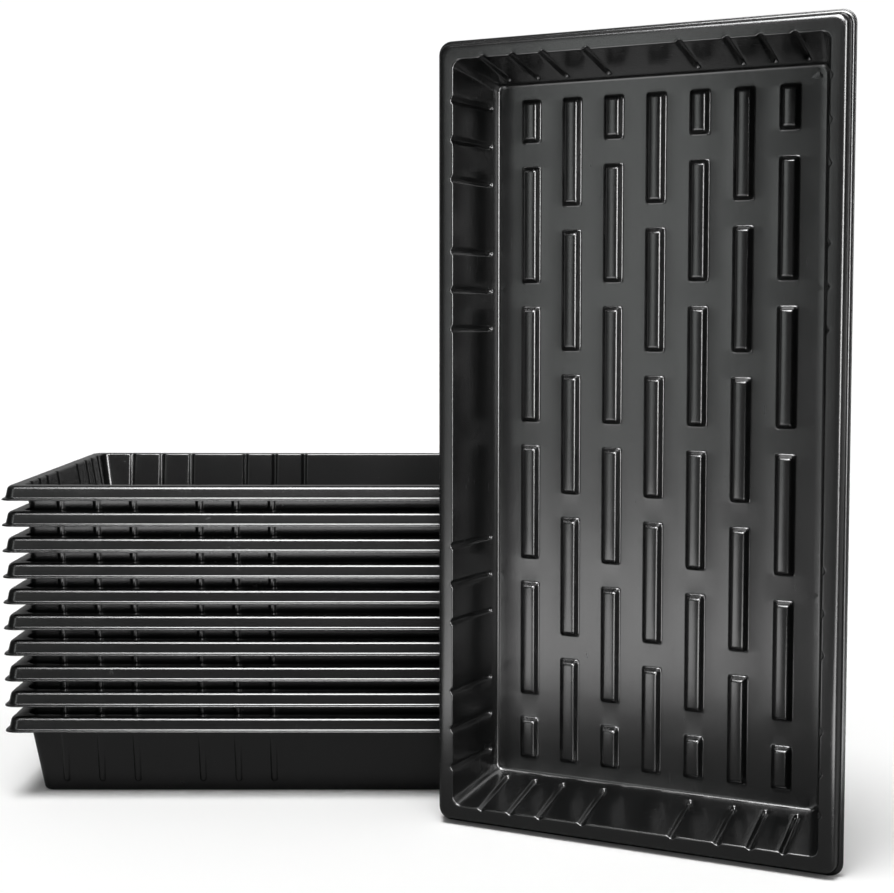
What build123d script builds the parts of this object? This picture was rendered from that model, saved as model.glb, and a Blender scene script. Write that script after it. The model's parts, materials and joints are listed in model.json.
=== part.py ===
"""A set of thermoformed 1020 nursery trays: ten nested in a stack, one standing on its end in front.

Every tray is the same moulding: a thin sheet drawn into a shallow box with drafted walls, narrow
flutes that stiffen the walls, staggered raised bars on the floor, and a flange with a turned-down
skirt and a flared lip. Units are millimetres, +Z is up, and the origin is on the floor, at the
middle of the whole set's footprint.
"""
from build123d import *
from math import asin, atan, cos, degrees, radians, sin, tan
import os

# The tray: overall size over the lip, and the sheet it is formed from
tray_length = 543.0
tray_width = 280.0
tray_depth = 61.0
wall = 0.8

# The flange, its skirt and the flared lip at the skirt's foot
flange_flat = 10.2
skirt_height = 10.4
skirt_flare = 1.8
lip_width = 2.5
lip_corner = 9.0

# The cavity
wall_draft = 9.0
cavity_corner = 6.0
floor_round = 2.6

# Nesting: trays stop one pitch apart, where the flutes' steep crests come close to each other
stack_count = 10
nest_pitch = 19.0
nest_gap = 0.3

# Flutes: round grooves in the inside of the walls, which bulge outward
flute_protrusion = 1.1
flute_foot_radius = 2.5
flute_end_height = 10.0
long_wall_groups = (75.0, 177.0)
long_wall_spacing = 26.6
short_wall_single = 31.0
short_wall_group = 61.3
short_wall_spacing = 21.2
flutes_in_group = 3

# Floor bars: seven columns, odd columns with a short bar at each end
bar_width = 13.0
bar_height = 5.0
bar_draft = 25.0
bar_corner = 2.4
bar_gap = 17.4
bar_end_margin = 36.0
column_pitch = 30.2
column_count = 7
short_bar = 29.5
end_bar = 74.5

# The tray that stands on its end in front of the stack: its foot's place, and how far it is turned
front_offset = 177.0
front_yaw = 23.8
front_gap = 0.4

# Sizes worked out from these
flange_edge = lip_width + skirt_flare
rim_inset = flange_edge + flange_flat
cavity_length = tray_length - 2 * rim_inset
cavity_width = tray_width - 2 * rim_inset
draft_run = (tray_depth - wall) * tan(radians(wall_draft))
floor_length = cavity_length - 2 * draft_run
floor_width = cavity_width - 2 * draft_run
crest_slope = tan(asin((wall + nest_gap) / nest_pitch))
flute_height = tray_depth - flute_end_height
flute_rim_radius = flute_foot_radius + flute_height * crest_slope
skirt_angle = degrees(atan(skirt_flare / skirt_height))
bar_run = tray_length - 2 * bar_end_margin
middle_long = (bar_run - 2 * short_bar - 5 * bar_gap) / 4
middle_even = (bar_run - 2 * end_bar - 4 * bar_gap) / 3
outer_side_growth = wall / cos(radians(wall_draft)) - wall * tan(radians(wall_draft))
outer_round = floor_round + wall


def flute_positions():
    """Centres of every flute's round, just inside the mouth of the cavity."""
    set_back = flute_rim_radius - flute_protrusion
    along = [start + k * long_wall_spacing for start in long_wall_groups for k in range(flutes_in_group)]
    across = [short_wall_single]
    across += [short_wall_group + k * short_wall_spacing for k in range(flutes_in_group)]
    half_length = cavity_length / 2 - set_back
    half_width = cavity_width / 2 - set_back
    points = [(side * x, end * half_width) for x in along for side in (-1, 1) for end in (-1, 1)]
    points += [(side * half_length, end * y) for y in across for side in (-1, 1) for end in (-1, 1)]
    return points


def bar_rectangles():
    """Every floor bar as (centre x, centre y, length)."""
    odd_column = [short_bar] + [middle_long] * 4 + [short_bar]
    even_column = [end_bar] + [middle_even] * 3 + [end_bar]
    bars = []
    for column in range(column_count):
        x = -bar_run / 2
        y = (column - (column_count - 1) / 2) * column_pitch
        for length in (odd_column if column % 2 == 0 else even_column):
            bars.append((x + length / 2, y, length))
            x += length + bar_gap
    return bars


def drawn_form(growth):
    """The space inside the drawn box, or the box's outside where growth is the sheet's thickness."""
    floor_level = wall - growth
    side_growth = outer_side_growth * growth / wall
    with BuildPart() as form:
        with BuildSketch(Plane.XY.offset(floor_level)):
            RectangleRounded(floor_length + 2 * side_growth, floor_width + 2 * side_growth,
                             cavity_corner + growth)
        extrude(amount=tray_depth - floor_level, taper=-wall_draft)
        fillet(form.faces().sort_by(Axis.Z)[0].edges(), floor_round + growth)
        for x, y in flute_positions():
            with Locations((x, y, flute_end_height - growth)):
                Cone(flute_foot_radius + growth - growth * crest_slope, flute_rim_radius + growth,
                     flute_height + growth, align=(Align.CENTER, Align.CENTER, Align.MIN))
        with BuildSketch(Plane.XY.offset(floor_level)):
            for x, y, length in bar_rectangles():
                with Locations((x, y)):
                    RectangleRounded(length - 2 * growth, bar_width - 2 * growth, bar_corner - growth)
        extrude(amount=bar_height, taper=bar_draft, mode=Mode.SUBTRACT)
    return form.part


def rim_form():
    """The flange, the skirt that hangs from its edge, and the lip that flares from the skirt's foot."""
    with BuildPart() as rim:
        with BuildSketch(Plane.XY.offset(tray_depth - skirt_height)):
            RectangleRounded(tray_length - 2 * lip_width, tray_width - 2 * lip_width, lip_corner - lip_width)
        extrude(amount=skirt_height, taper=skirt_angle)
        with BuildSketch(Plane.XY.offset(tray_depth - skirt_height)):
            inset = lip_width + wall
            RectangleRounded(tray_length - 2 * inset, tray_width - 2 * inset, lip_corner - inset)
        extrude(amount=skirt_height - wall, taper=skirt_angle, mode=Mode.SUBTRACT)
        with BuildSketch(Plane.XY.offset(tray_depth - skirt_height)):
            RectangleRounded(tray_length, tray_width, lip_corner)
            RectangleRounded(tray_length - 2 * inset, tray_width - 2 * inset, lip_corner - inset,
                             mode=Mode.SUBTRACT)
        extrude(amount=wall)
    return rim.part


cavity = drawn_form(0)
with BuildPart() as tray:
    add(drawn_form(wall))
    add(rim_form())
    add(cavity, mode=Mode.SUBTRACT)

# The standing tray: length up, open side towards -Y, resting on its lip's lower edge
stand_up = Plane(origin=(0, tray_depth - skirt_height, tray_length / 2), x_dir=(0, 0, 1), z_dir=(0, -1, 0))
turn = Location((0, 0, 0), (0, 0, -front_yaw))

# Its rounded back edge reaches furthest behind its foot, and stops just short of the stack's lips
round_inset = outer_round * tan(radians((90 - wall_draft) / 2))
edge_side = floor_width / 2 + outer_side_growth - round_inset
edge_back = tray_depth - skirt_height - outer_round
back_reach = edge_side * sin(radians(front_yaw)) + edge_back * cos(radians(front_yaw)) + outer_round
front_foot = Location((front_offset, -tray_width / 2 - front_gap - back_reach, 0))

trays = {}
for level in range(stack_count):
    trays[f"tray_{level + 1:02d}"] = tray.part.moved(Location((0, 0, level * nest_pitch)))
trays["front_tray"] = tray.part.moved(front_foot * turn * stand_up.location)

# The origin goes to the middle of the whole set's footprint
footprint = trays["tray_01"].bounding_box().add(trays["front_tray"].bounding_box())
middle = (footprint.min + footprint.max) / 2
to_origin = Location((-middle.X, -middle.Y, 0))

os.makedirs("parts", exist_ok=True)
for name, solid in trays.items():
    placed = solid.moved(to_origin)
    placed.label = name
    export_step(placed, f"parts/{name}.step")

# The standing tray tips forward about the lower edge of its flange
flange_foot = Location((0, -skirt_height, flange_edge))
tip_axis = to_origin * front_foot * turn * flange_foot
print("stack centre", to_origin.position)
print("tipping edge", tip_axis.position)
print("footprint", footprint.max - footprint.min)
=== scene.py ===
import bpy
import json
import numpy as np
from math import atan2, cos, pi, radians, sin, tan
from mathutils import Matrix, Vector


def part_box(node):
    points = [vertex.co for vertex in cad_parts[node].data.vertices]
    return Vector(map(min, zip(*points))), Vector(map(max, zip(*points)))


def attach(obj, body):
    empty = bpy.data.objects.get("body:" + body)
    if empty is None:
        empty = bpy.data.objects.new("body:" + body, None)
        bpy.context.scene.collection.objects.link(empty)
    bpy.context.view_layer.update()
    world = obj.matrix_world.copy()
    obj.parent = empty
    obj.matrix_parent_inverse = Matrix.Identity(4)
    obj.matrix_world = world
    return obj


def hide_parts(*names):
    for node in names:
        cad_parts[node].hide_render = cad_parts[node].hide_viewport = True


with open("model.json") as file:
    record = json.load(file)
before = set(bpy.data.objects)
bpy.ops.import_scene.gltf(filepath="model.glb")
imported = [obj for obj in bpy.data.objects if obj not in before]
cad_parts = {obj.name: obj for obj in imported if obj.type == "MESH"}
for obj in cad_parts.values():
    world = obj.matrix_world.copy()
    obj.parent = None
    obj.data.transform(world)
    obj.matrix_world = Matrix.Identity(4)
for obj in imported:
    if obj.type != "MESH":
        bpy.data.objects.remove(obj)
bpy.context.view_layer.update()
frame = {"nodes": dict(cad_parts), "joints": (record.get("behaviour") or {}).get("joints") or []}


# ---------------------------------------------------------------------------------------------------
# The tray's sheet. Every tray is one moulding: a sheet of black polystyrene, vacuum formed over a tool
# and trimmed at the lip. It is drawn here as its upper face, and gets the sheet's thickness below it.
# The face is a ring, the edge profile carried round the tray, and a floor grid inside the ring.
# ---------------------------------------------------------------------------------------------------
MM = 0.001
bottom_low, bottom_high = (np.array(corner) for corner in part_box("tray_01"))
tray_length, tray_width, tray_depth = (bottom_high - bottom_low) / MM
sheet = 0.8

lip_width = 2.5
skirt_flare = 1.8
skirt_height = 10.4
flange_flat = 10.2
flange_edge = lip_width + skirt_flare
rim_inset = flange_edge + flange_flat
wall_draft = radians(9.0)
floor_inset = rim_inset + (tray_depth - sheet) * tan(wall_draft)
half_length, half_width = tray_length / 2, tray_width / 2


def arc_corners(points, steps):
    """The polyline through (x, y, radius) points with each corner replaced by a round of its radius.

    A round starts radius * tan(turn / 2) before its corner, and its points are even steps of angle."""
    path = [np.array(points[0][:2], float)]
    for before, corner, after in zip(points, points[1:], points[2:]):
        here = np.array(corner[:2], float)
        into = here - np.array(before[:2], float)
        away = np.array(after[:2], float) - here
        into, away = into / np.linalg.norm(into), away / np.linalg.norm(away)
        turn = atan2(into[0] * away[1] - into[1] * away[0], into @ away)
        side = np.sign(turn) * np.array([-into[1], into[0]])
        start = here - into * corner[2] * tan(abs(turn) / 2)
        centre = start + side * corner[2]
        for angle in np.linspace(0, abs(turn), steps):
            path.append(centre - side * corner[2] * cos(angle) + into * corner[2] * sin(angle))
    path.append(np.array(points[-1][:2], float))
    return np.array(path)


# The floor bars: seven columns, and the odd ones have a short bar at each end
bar_width, bar_height, bar_corner, bar_draft = 13.0, 5.0, 2.4, radians(25)
bar_gap, bar_end_margin, short_bar, end_bar = 17.4, 36.0, 29.5, 74.5
column_pitch, column_count = 30.2, 7


def bar_lines():
    """Every floor bar as (centre x, centre y, half length, half width), each column filling one run."""
    run = tray_length - 2 * bar_end_margin
    middle_long = (run - 2 * short_bar - 5 * bar_gap) / 4
    middle_even = (run - 2 * end_bar - 4 * bar_gap) / 3
    odd_column = [short_bar] + [middle_long] * 4 + [short_bar]
    even_column = [end_bar] + [middle_even] * 3 + [end_bar]
    bars = []
    for column in range(column_count):
        x, y = -run / 2, (column - column_count // 2) * column_pitch
        for length in (odd_column if column % 2 == 0 else even_column):
            bars.append((x + length / 2, y, length / 2, bar_width / 2))
            x += length + bar_gap
    return np.array(bars)


bars = bar_lines()
bar_foot = arc_corners([(-3, 0, 0), (0, 0, 1.7), (bar_height * tan(bar_draft), bar_height, 2.5),
                        (bar_width / 2, bar_height + 0.16, 0)], 3)
bar_steps = bar_foot[1:-1, 0]


def bar_relief(x, y):
    """Height over the floor at (x, y): the bar's side profile, read at the distance inside its foot."""
    height = np.zeros_like(x)
    for centre_x, centre_y, half_x, half_y in bars:
        away_x = np.abs(x - centre_x) - half_x + bar_corner
        away_y = np.abs(y - centre_y) - half_y + bar_corner
        outside = np.hypot(np.maximum(away_x, 0), np.maximum(away_y, 0))
        outside += np.minimum(np.maximum(away_x, away_y), 0)
        height = np.maximum(height, np.interp(bar_corner - outside, bar_foot[:, 0], bar_foot[:, 1]))
    return height


def grid_lines(edges, half_range, spare):
    """Grid positions: the profile's steps at every bar edge, the middle of each wide gap, and the ends."""
    steps = np.concatenate([edge - side * bar_steps for edge, side in edges])
    places = np.sort(np.array([edge for edge, side in edges]))
    middles = (places[1:] + places[:-1])[np.diff(places) > spare] / 2
    lines = np.unique(np.round(np.concatenate([steps, middles, [-half_range, half_range]]), 3))
    least_step = 0.2
    keep = np.concatenate([[True], np.diff(lines) > least_step])
    return lines[keep]


def bar_edges(centre_and_half):
    """Both edges of the bars along one axis, each as (place, side) and only once."""
    spans = np.unique(bars[:, centre_and_half].round(3), axis=0)
    return [(centre + side * half, side) for centre, half in spans for side in (-1, 1)]


# The floor grid stops just inside the round at the foot of the walls
floor_half_x, floor_half_y = 238.8, 109.4
wide_gap = 10.0
x_lines = grid_lines(bar_edges([0, 2]), floor_half_x, wide_gap)
y_lines = grid_lines(bar_edges([1, 3]), floor_half_y, wide_gap)

# The flutes: shallow round grooves pressed into the wall from the rim to just above its foot
flute_half, flute_rim, flute_foot, flute_end = 3.3, 1.5, 2.5, 9.0
flute_zone = 5.0
flute_points = 9
flutes_in_group, long_wall_spacing, short_wall_spacing = 3, 26.6, 21.2
along = np.array([start + k * long_wall_spacing for start in (75.0, 177.0) for k in range(flutes_in_group)])
across = np.array([31.0] + [61.3 + k * short_wall_spacing for k in range(flutes_in_group)])
long_flutes = np.sort(np.concatenate([-along, along]))
short_flutes = np.sort(np.concatenate([-across, across]))


def flute_outline(height):
    """One flute's section at each height: offsets along the wall, and depth out of it as a raised cosine.

    Its depth grows from the rim down, and the foot sinks back into the wall as a quarter circle does."""
    depth = np.interp(height, [flute_end, tray_depth], [flute_foot, flute_rim])
    sink = np.sqrt(np.clip(1 - (np.clip(flute_end + 2.2 - height, 0, None) / 2.6) ** 2, 0, 1))
    half = np.interp(height, [flute_end, tray_depth], [0.8 * flute_half, flute_half]) * (0.35 + 0.65 * sink)
    step = np.linspace(-1, 1, flute_points)
    return np.outer(half, step), np.outer(depth * sink, (0.5 + 0.5 * np.cos(pi * step)) ** 0.8)


def side_stations(lines, flutes):
    """Where the ring's lines stand along one side: floor lines away from flutes, and lines in each flute.

    Each station is (fixed place, flute point or -1, floor line that it runs into)."""
    stations = [(line, -1, k) for k, line in enumerate(lines) if np.min(np.abs(flutes - line)) > flute_zone]
    for flute in flutes:
        inside = np.flatnonzero(np.abs(lines - flute) <= flute_zone)
        if len(inside) == 0:
            inside = np.array([np.argmin(np.abs(lines - flute))])
        meets = inside[np.round(np.linspace(0, len(inside) - 1, flute_points)).astype(int)]
        stations += [(flute, point, line) for point, line in enumerate(meets)]
    stations.sort(key=lambda station: station[0] + (station[1] - flute_points // 2) * 0.5 * (station[1] >= 0))
    return np.array(stations)


x_stations = side_stations(x_lines, long_flutes)
y_stations = side_stations(y_lines, short_flutes)

# The edge profile from the lip's tip to the floor, as (inset from the tip, height, round)
profile = arc_corners([
    (0.0, tray_depth - skirt_height + 0.1, 0),
    (0.25, tray_depth - skirt_height + 1.0, 0.4),
    (lip_width - 0.1, tray_depth - skirt_height + 1.2, 1.6),
    (flange_edge, tray_depth, 3.0),
    (rim_inset, tray_depth, 1.3),
    (floor_inset, sheet, 2.8),
    (floor_inset + 6, sheet, 0)], 4)
wall_heights = np.array([52, 43, 34, 26, 18, 13, 11.2, 10.4, 9.7, 9.2, 8.8, 8.6, 7.0])
wall_insets = rim_inset + (tray_depth - wall_heights) * tan(wall_draft)
rim_rows = profile[profile[:, 1] > 55]
floor_rows = profile[(profile[:, 1] < 6) & (profile[:, 0] > rim_inset)][:-1]
flange_middle = np.array([[flange_edge + 4.5, tray_depth]])
crown = np.flatnonzero(np.abs(rim_rows[:, 1] - tray_depth) < 1e-6)
rim_rows = np.insert(rim_rows, crown[0] + 1, flange_middle, axis=0)
lip_rows = profile[(profile[:, 1] <= 55) & (profile[:, 0] < rim_inset - 5)]
rows = np.vstack([lip_rows, rim_rows, np.column_stack([wall_insets, wall_heights]), floor_rows])
corner_points = 7


def tray_surface(warp):
    """The tray's upper face in millimetres, centred, with its foot at zero: vertices and quads.

    Ring vertex (row, station) is the row's rectangle, pushed out by the flute, with round corners.
    The floor is the grid of x lines and y lines at the bars' height."""
    inset, height = rows[:, 0], rows[:, 1]
    row_half_x, row_half_y = half_length - inset, half_width - inset
    corner = np.interp(inset, [0, flange_edge, rim_inset, floor_inset], [9.0, 6.6, 6.2, 5.2])
    in_cavity = inset > rim_inset - 1.5
    flute_along, flute_out = flute_outline(np.where(in_cavity, height, tray_depth))
    flute_out = flute_out * in_cavity[:, None]

    def side(stations):
        point = stations[:, 1].astype(int)
        in_flute = point >= 0
        place = stations[:, 0] + np.where(in_flute, flute_along[:, point], 0)
        return place, np.where(in_flute, flute_out[:, point], 0)

    def round_corner(sign_x, sign_y):
        angle = np.linspace(0, pi / 2, corner_points)
        if sign_x * sign_y > 0:
            angle = angle[::-1]
        x = sign_x * (row_half_x[:, None] + corner[:, None] * (np.cos(angle) - 1))
        y = sign_y * (row_half_y[:, None] + corner[:, None] * (np.sin(angle) - 1))
        return x, y

    along_x, out_y = side(x_stations)
    along_y, out_x = side(y_stations)
    north = (along_x, row_half_y[:, None] + out_y)
    east = (row_half_x[:, None] + out_x[:, ::-1], along_y[:, ::-1])
    south = (along_x[:, ::-1], -row_half_y[:, None] - out_y[:, ::-1])
    west = (-row_half_x[:, None] - out_x, along_y)
    loops = [north, round_corner(1, 1), east, round_corner(1, -1), south, round_corner(-1, -1), west,
             round_corner(-1, 1)]
    ring_x = np.hstack([part[0] for part in loops])
    ring_y = np.hstack([part[1] for part in loops])
    ring_z = np.repeat(height[:, None], ring_x.shape[1], axis=1)

    grid_x, grid_y = np.meshgrid(x_lines, y_lines)
    grid_z = sheet + bar_relief(grid_x, grid_y)
    count_x, count_y = len(x_lines), len(y_lines)
    number = np.arange(count_x * count_y).reshape(count_y, count_x)
    to_x, to_y = x_stations[:, 2].astype(int), y_stations[:, 2].astype(int)
    seam = np.concatenate([
        number[-1, to_x], np.full(corner_points, number[-1, -1]),
        number[to_y[::-1], -1], np.full(corner_points, number[0, -1]),
        number[0, to_x[::-1]], np.full(corner_points, number[0, 0]),
        number[to_y, 0], np.full(corner_points, number[-1, 0])])

    ring = np.column_stack([ring_x.ravel(), ring_y.ravel(), ring_z.ravel()])
    floor = np.column_stack([grid_x.ravel(), grid_y.ravel(), grid_z.ravel()])
    vertices = np.vstack([ring, floor])
    row_count, ring_count = ring_x.shape
    ring_number = np.arange(ring.shape[0]).reshape(row_count, ring_count)
    ring_number = np.vstack([ring_number, len(ring) + seam])
    following = np.roll(ring_number, -1, axis=1)
    ring_faces = np.stack([ring_number[:-1], ring_number[1:], following[1:], following[:-1]], -1)
    floor_faces = np.stack([number[:-1, :-1], number[:-1, 1:], number[1:, 1:], number[1:, :-1]], -1)
    faces = np.vstack([ring_faces.reshape(-1, 4), len(ring) + floor_faces.reshape(-1, 4)])
    return warp(vertices), faces


def without_doubles(faces):
    """The quads as polygons, less the ones that the seam between ring and floor closes up."""
    polygons = [tuple(dict.fromkeys(face)) for face in faces.tolist()]
    return [polygon for polygon in polygons if len(polygon) > 2]


def rub_and_highlight_marks(vertices):
    """How much each place is paled, 0 to 1: rub wear plus a painted highlight, along the flange's outer edge
    and the lip's edge.
    """
    x, y, z = vertices.T
    inset = np.minimum(half_length - np.abs(x), half_width - np.abs(y))
    on_flange = np.exp(-((inset - flange_edge - 0.6) / 1.2) ** 2) * (z > tray_depth - 2.5)
    on_lip = np.exp(-(inset / 0.9) ** 2)
    return np.maximum(on_flange, on_lip)


def add_tray(name, place, warp, body):
    """A tray object for one node: the surface, put in its place by place(), and the sheet's thickness."""
    vertices, faces = tray_surface(warp)
    mesh = bpy.data.meshes.new(name + "_sheet")
    mesh.from_pydata((place(vertices) * MM).tolist(), [], without_doubles(faces))
    # The paler edges: rub wear plus a painted highlight along the flange's outer edge and the lip's edge
    edge_rub_highlight = mesh.attributes.new("edge_rub_highlight", "FLOAT", "POINT")
    edge_rub_highlight.data.foreach_set("value", rub_and_highlight_marks(vertices))
    mesh.shade_smooth()
    tray = bpy.data.objects.new(name + "_moulded", mesh)
    bpy.context.scene.collection.objects.link(tray)
    thickness = tray.modifiers.new("sheet", "SOLIDIFY")
    thickness.thickness = sheet * MM
    thickness.offset = -1
    thickness.use_quality_normals = True
    smooth = tray.modifiers.new("normals", "WEIGHTED_NORMAL")
    smooth.keep_sharp = True
    mesh.materials.append(black_sheet)
    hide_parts(name)
    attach(tray, body)


class Socket:
    """One node's output: sums and products of outputs add Math nodes, and node() adds any other node."""

    def __init__(self, tree, socket):
        self.tree, self.socket = tree, socket

    @staticmethod
    def node(tree, kind, settings, inputs, output=0):
        """A node of that kind: its settings first, then its sockets' values or links. Gives one output."""
        node = tree.nodes.new(kind)
        for setting, value in settings.items():
            setattr(node, setting, value)
        for name, value in inputs.items():
            if isinstance(value, Socket):
                tree.links.new(value.socket, node.inputs[name])
            else:
                node.inputs[name].default_value = value
        return Socket(tree, node.outputs[output]) if node.outputs else None

    def math(self, operation, *values):
        return Socket.node(self.tree, "ShaderNodeMath", {"operation": operation}, dict(enumerate(values)))

    def __add__(self, other):
        return self.math("ADD", self, other)

    def __sub__(self, other):
        return self.math("SUBTRACT", self, other)

    def __rsub__(self, other):
        return self.math("SUBTRACT", other, self)

    def __mul__(self, other):
        return self.math("MULTIPLY", self, other)

    __radd__, __rmul__ = __add__, __mul__

    def between(self, low, high):
        """0 below low, 1 above high, and a smooth step between."""
        return Socket.node(self.tree, "ShaderNodeMapRange", {"interpolation_type": "SMOOTHSTEP"}, {
            "Value": self, "From Min": low, "From Max": high, "To Min": 0.0, "To Max": 1.0})


# Black polystyrene sheet with a satin skin: a fine even grain, slow waves left by the forming, and paler,
# duller marks along the flange's outer edge and the lip's edge, part rub wear where trays rub on each other,
# part painted highlight
black_sheet = bpy.data.materials.new("tray_sheet_black")
black_sheet.use_nodes = True
tree = black_sheet.node_tree
tree.nodes.clear()
# The paler skin serves scuffs, rub wear and the painted edge highlight
new_skin, worn_and_highlight_skin = (0.0032, 0.0034, 0.0034, 1), (0.024, 0.024, 0.024, 1)
mix_factor, mix_from, mix_to, mix_result = 0, 6, 7, 2
where = Socket.node(tree, "ShaderNodeTexCoord", {}, {}, "Object")
edge_rub_highlight_mask = Socket.node(tree, "ShaderNodeAttribute", {"attribute_name": "edge_rub_highlight"}, {}, "Fac")
cloud = Socket.node(tree, "ShaderNodeTexNoise", {}, {"Vector": where, "Scale": 14.0, "Detail": 4.0})
specks = Socket.node(tree, "ShaderNodeTexNoise", {}, {"Vector": where, "Scale": 900.0, "Detail": 2.0})
grain = Socket.node(tree, "ShaderNodeTexNoise", {}, {"Vector": where, "Scale": 2600.0, "Detail": 2.0})
waves = Socket.node(tree, "ShaderNodeTexNoise", {}, {"Vector": where, "Scale": 28.0, "Detail": 1.0})
scuff_places = Socket.node(tree, "ShaderNodeMapping", {}, {"Vector": where, "Scale": (160.0, 900.0, 60.0)})
scuffs = Socket.node(tree, "ShaderNodeTexNoise", {}, {"Vector": scuff_places, "Scale": 1.0, "Detail": 3.0})
scuff = scuffs.between(0.62, 0.74) * cloud.between(0.45, 0.65)
# Painted highlight with rub wear: speckled paler skin along the flange's outer edge and the lip's edge
wear_and_highlight = edge_rub_highlight_mask * specks.between(0.35, 0.7)
sheet_colour = Socket.node(tree, "ShaderNodeMix", {"data_type": "RGBA"}, {
    mix_factor: wear_and_highlight * 0.3 + scuff * 0.2, mix_from: new_skin, mix_to: worn_and_highlight_skin}, mix_result)
sheet_roughness = 0.2 + cloud * 0.05 + wear_and_highlight * 0.06 + scuff * 0.06
wavy = Socket.node(tree, "ShaderNodeBump", {}, {"Strength": 0.1, "Distance": 0.002, "Height": waves})
grained = Socket.node(tree, "ShaderNodeBump", {}, {
    "Strength": 0.12, "Distance": 0.0002, "Height": grain, "Normal": wavy})
plastic = Socket.node(tree, "ShaderNodeBsdfPrincipled", {}, {
    "Base Color": sheet_colour, "Roughness": sheet_roughness, "Normal": grained, "IOR": 1.5})
Socket.node(tree, "ShaderNodeOutputMaterial", {}, {"Surface": plastic})


# ---------------------------------------------------------------------------------------------------
# The nested stack: ten trays dropped one into the next, each held up by its flutes in the flutes below.
# Every one is the same moulding, a touch bowed along its long edges.
# ---------------------------------------------------------------------------------------------------
def bowed(amount):
    """The sheet with its long edges' middle let down by amount, in millimetres, as a half wave along x."""
    def warp(vertices):
        x, y, z = vertices.T
        down = amount * np.cos(pi * x / tray_length) * (z / tray_depth) ** 2 * (np.abs(y) / half_width) ** 2
        return np.column_stack([x, y, z - down])
    return warp


stack_names = sorted(name for name in frame["nodes"] if name != "front_tray")
for name in stack_names:
    low, high = (np.array(corner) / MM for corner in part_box(name))
    middle = np.array([(low[0] + high[0]) / 2, (low[1] + high[1]) / 2, low[2]])
    body = "stack_base" if name == "tray_01" else "nested_" + name
    add_tray(name, lambda vertices: vertices + middle, bowed(0.3), body)


# ---------------------------------------------------------------------------------------------------
# The standing tray: the same moulding, loose, stood on one end with its open side turned to the front
# left. It balances on the end flange, and its back edge all but touches the stack's lips.
# ---------------------------------------------------------------------------------------------------
tip = next(joint for joint in frame["joints"] if joint["name"] == "tip_forward")
foot, edge_way = np.array(tip["pos_m"]) / MM, np.array(tip["axis"])
facing = np.array([edge_way[1], -edge_way[0], 0])
upwards = np.array([0.0, 0.0, 1.0])


def stood_on_end(vertices):
    """Along the tray goes up, across it goes against the tipping edge, and its open side faces the front."""
    x, y, z = vertices.T
    return (foot + np.outer(x + half_length - flange_edge, upwards) - np.outer(y, edge_way)
            + np.outer(z - tray_depth, facing))


add_tray("front_tray", stood_on_end, bowed(0.0), "standing_tray")


# ---------------------------------------------------------------------------------------------------
# The studio: a matte white table top in a white surround. A sun lights the table, and the sheet's gloss
# shows a soft box at the front left, a strip at the front right, one overhead and two cards on the table.
# ---------------------------------------------------------------------------------------------------
table_top = bpy.data.meshes.new("table_top")
reach = 40.0
corners = [(-reach, -reach, 0), (reach, -reach, 0), (reach, reach, 0), (-reach, reach, 0)]
table_top.from_pydata(corners, [], [(0, 1, 2, 3)])
table = bpy.data.objects.new("table", table_top)
bpy.context.scene.collection.objects.link(table)
table_paint = bpy.data.materials.new("table_paint")
table_paint.use_nodes = True
tree = table_paint.node_tree
tree.nodes.clear()
paint = Socket.node(tree, "ShaderNodeBsdfPrincipled", {}, {
    "Base Color": (0.96, 0.96, 0.955, 1), "Roughness": 0.6, "Specular IOR Level": 0.0})
mirrored = Socket.node(tree, "ShaderNodeLightPath", {}, {}, "Is Glossy Ray")
unlit = Socket.node(tree, "ShaderNodeEmission", {}, {"Color": (0, 0, 0, 1), "Strength": 0.0})
# The trays' gloss shows the table at less than a third of its brightness
table_look = Socket.node(tree, "ShaderNodeMixShader", {}, {0: 1 - mirrored * 0.7, 1: unlit, 2: paint})
Socket.node(tree, "ShaderNodeOutputMaterial", {}, {"Surface": table_look})
table_top.materials.append(table_paint)

surround = bpy.data.worlds.new("surround")
bpy.context.scene.world = surround
surround.use_nodes = True
tree = surround.node_tree
tree.nodes.clear()
seen = Socket.node(tree, "ShaderNodeLightPath", {}, {}, "Is Camera Ray")
mirrored = Socket.node(tree, "ShaderNodeLightPath", {}, {}, "Is Glossy Ray")
white = Socket.node(tree, "ShaderNodeBackground", {}, {
    "Color": (1, 1, 1, 1), "Strength": 0.36 + seen * 0.66})
direction = Socket.node(tree, "ShaderNodeTexCoord", {}, {}, "Generated")
depth_way = Socket.node(tree, "ShaderNodeSeparateXYZ", {}, {"Vector": direction}, "Y")
room = Socket.node(tree, "ShaderNodeBackground", {}, {
    "Color": (1, 1, 1, 1), "Strength": 0.06 + depth_way.between(0.2, 0.8) * 0.24})
both = Socket.node(tree, "ShaderNodeMixShader", {}, {0: mirrored, 1: white, 2: room})
Socket.node(tree, "ShaderNodeOutputWorld", {}, {"Surface": both})


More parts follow.
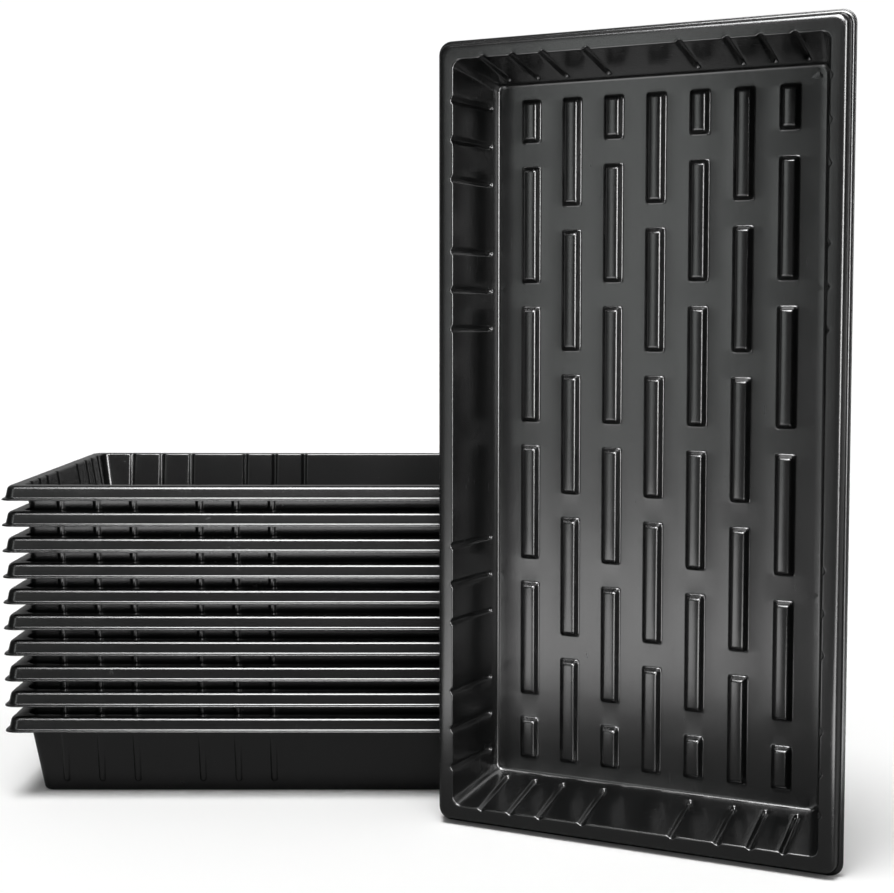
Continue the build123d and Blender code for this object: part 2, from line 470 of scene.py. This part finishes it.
def soft_box(name, place, away, width, height, radiance):
    """A glossy-only rectangular light at place that shines against the direction away."""
    lamp = bpy.data.lights.new(name, "AREA")
    lamp.shape = "RECTANGLE"
    lamp.size, lamp.size_y = width, height
    lamp.energy = radiance * pi * width * height
    box = bpy.data.objects.new(name, lamp)
    bpy.context.scene.collection.objects.link(box)
    box.location = place
    box.rotation_euler = Vector(away).to_track_quat("Z", "Y").to_euler()
    box.visible_diffuse = False
    box.visible_camera = False
    return box


def round_the_set(azimuth, elevation, distance):
    """A place round the set and the direction to it: azimuth from the front to the right, in degrees."""
    a, e = radians(azimuth), radians(elevation)
    away = Vector((sin(a) * cos(e), -cos(a) * cos(e), sin(e)))
    return Vector((0.0, -0.02, 0.25)) + away * distance, away


left_box = soft_box("left_soft_box", (-1.55, -2.1, 0.5), (-0.6, -0.8, 0.06), 0.5, 2.0, 3.2)
left_box.data.color = (0.96, 1.0, 0.985)
soft_box("right_strip", *round_the_set(36, 10, 2.6), 0.75, 2.6, 30.0)
soft_box("overhead_soft_box", (-0.1, -1.4, 2.2), (0, -0.58, 0.81), 1.3, 1.8, 36.0)
card_width, card_length, over_table = 0.32, 1.3, 0.004
for name, x, y, turn, radiance in (("left_floor_card", -0.5, -0.83, -42, 5.0),
                                   ("right_floor_card", 0.6, -1.0, 30, 9.0)):
    card = soft_box(name, (x, y, over_table), (0, 0, -1), card_width, card_length, radiance)
    card.rotation_euler = (pi, 0, radians(turn))

sky = bpy.data.lights.new("sky_fill", "SUN")
sky.energy = 2.4
sky.angle = radians(25)
sky_fill = bpy.data.objects.new("sky_fill", sky)
bpy.context.scene.collection.objects.link(sky_fill)
sky_fill.rotation_euler = (radians(12), radians(-6), 0)
sky_fill.visible_glossy = False

camera_data = bpy.data.cameras.new("camera")
camera = bpy.data.objects.new("camera", camera_data)
bpy.context.scene.collection.objects.link(camera)
bpy.context.scene.camera = camera
camera_data.lens = 59.34
camera_data.sensor_width = 36.0
camera_data.sensor_fit = "HORIZONTAL"
camera_data.shift_y = -0.0403
camera.location = (0.0361, -1.1244, 0.3523)
camera_dip = radians(3.5)
camera.rotation_euler = (pi / 2 - camera_dip, 0, 0)
bpy.context.scene.view_settings.view_transform = "Standard"
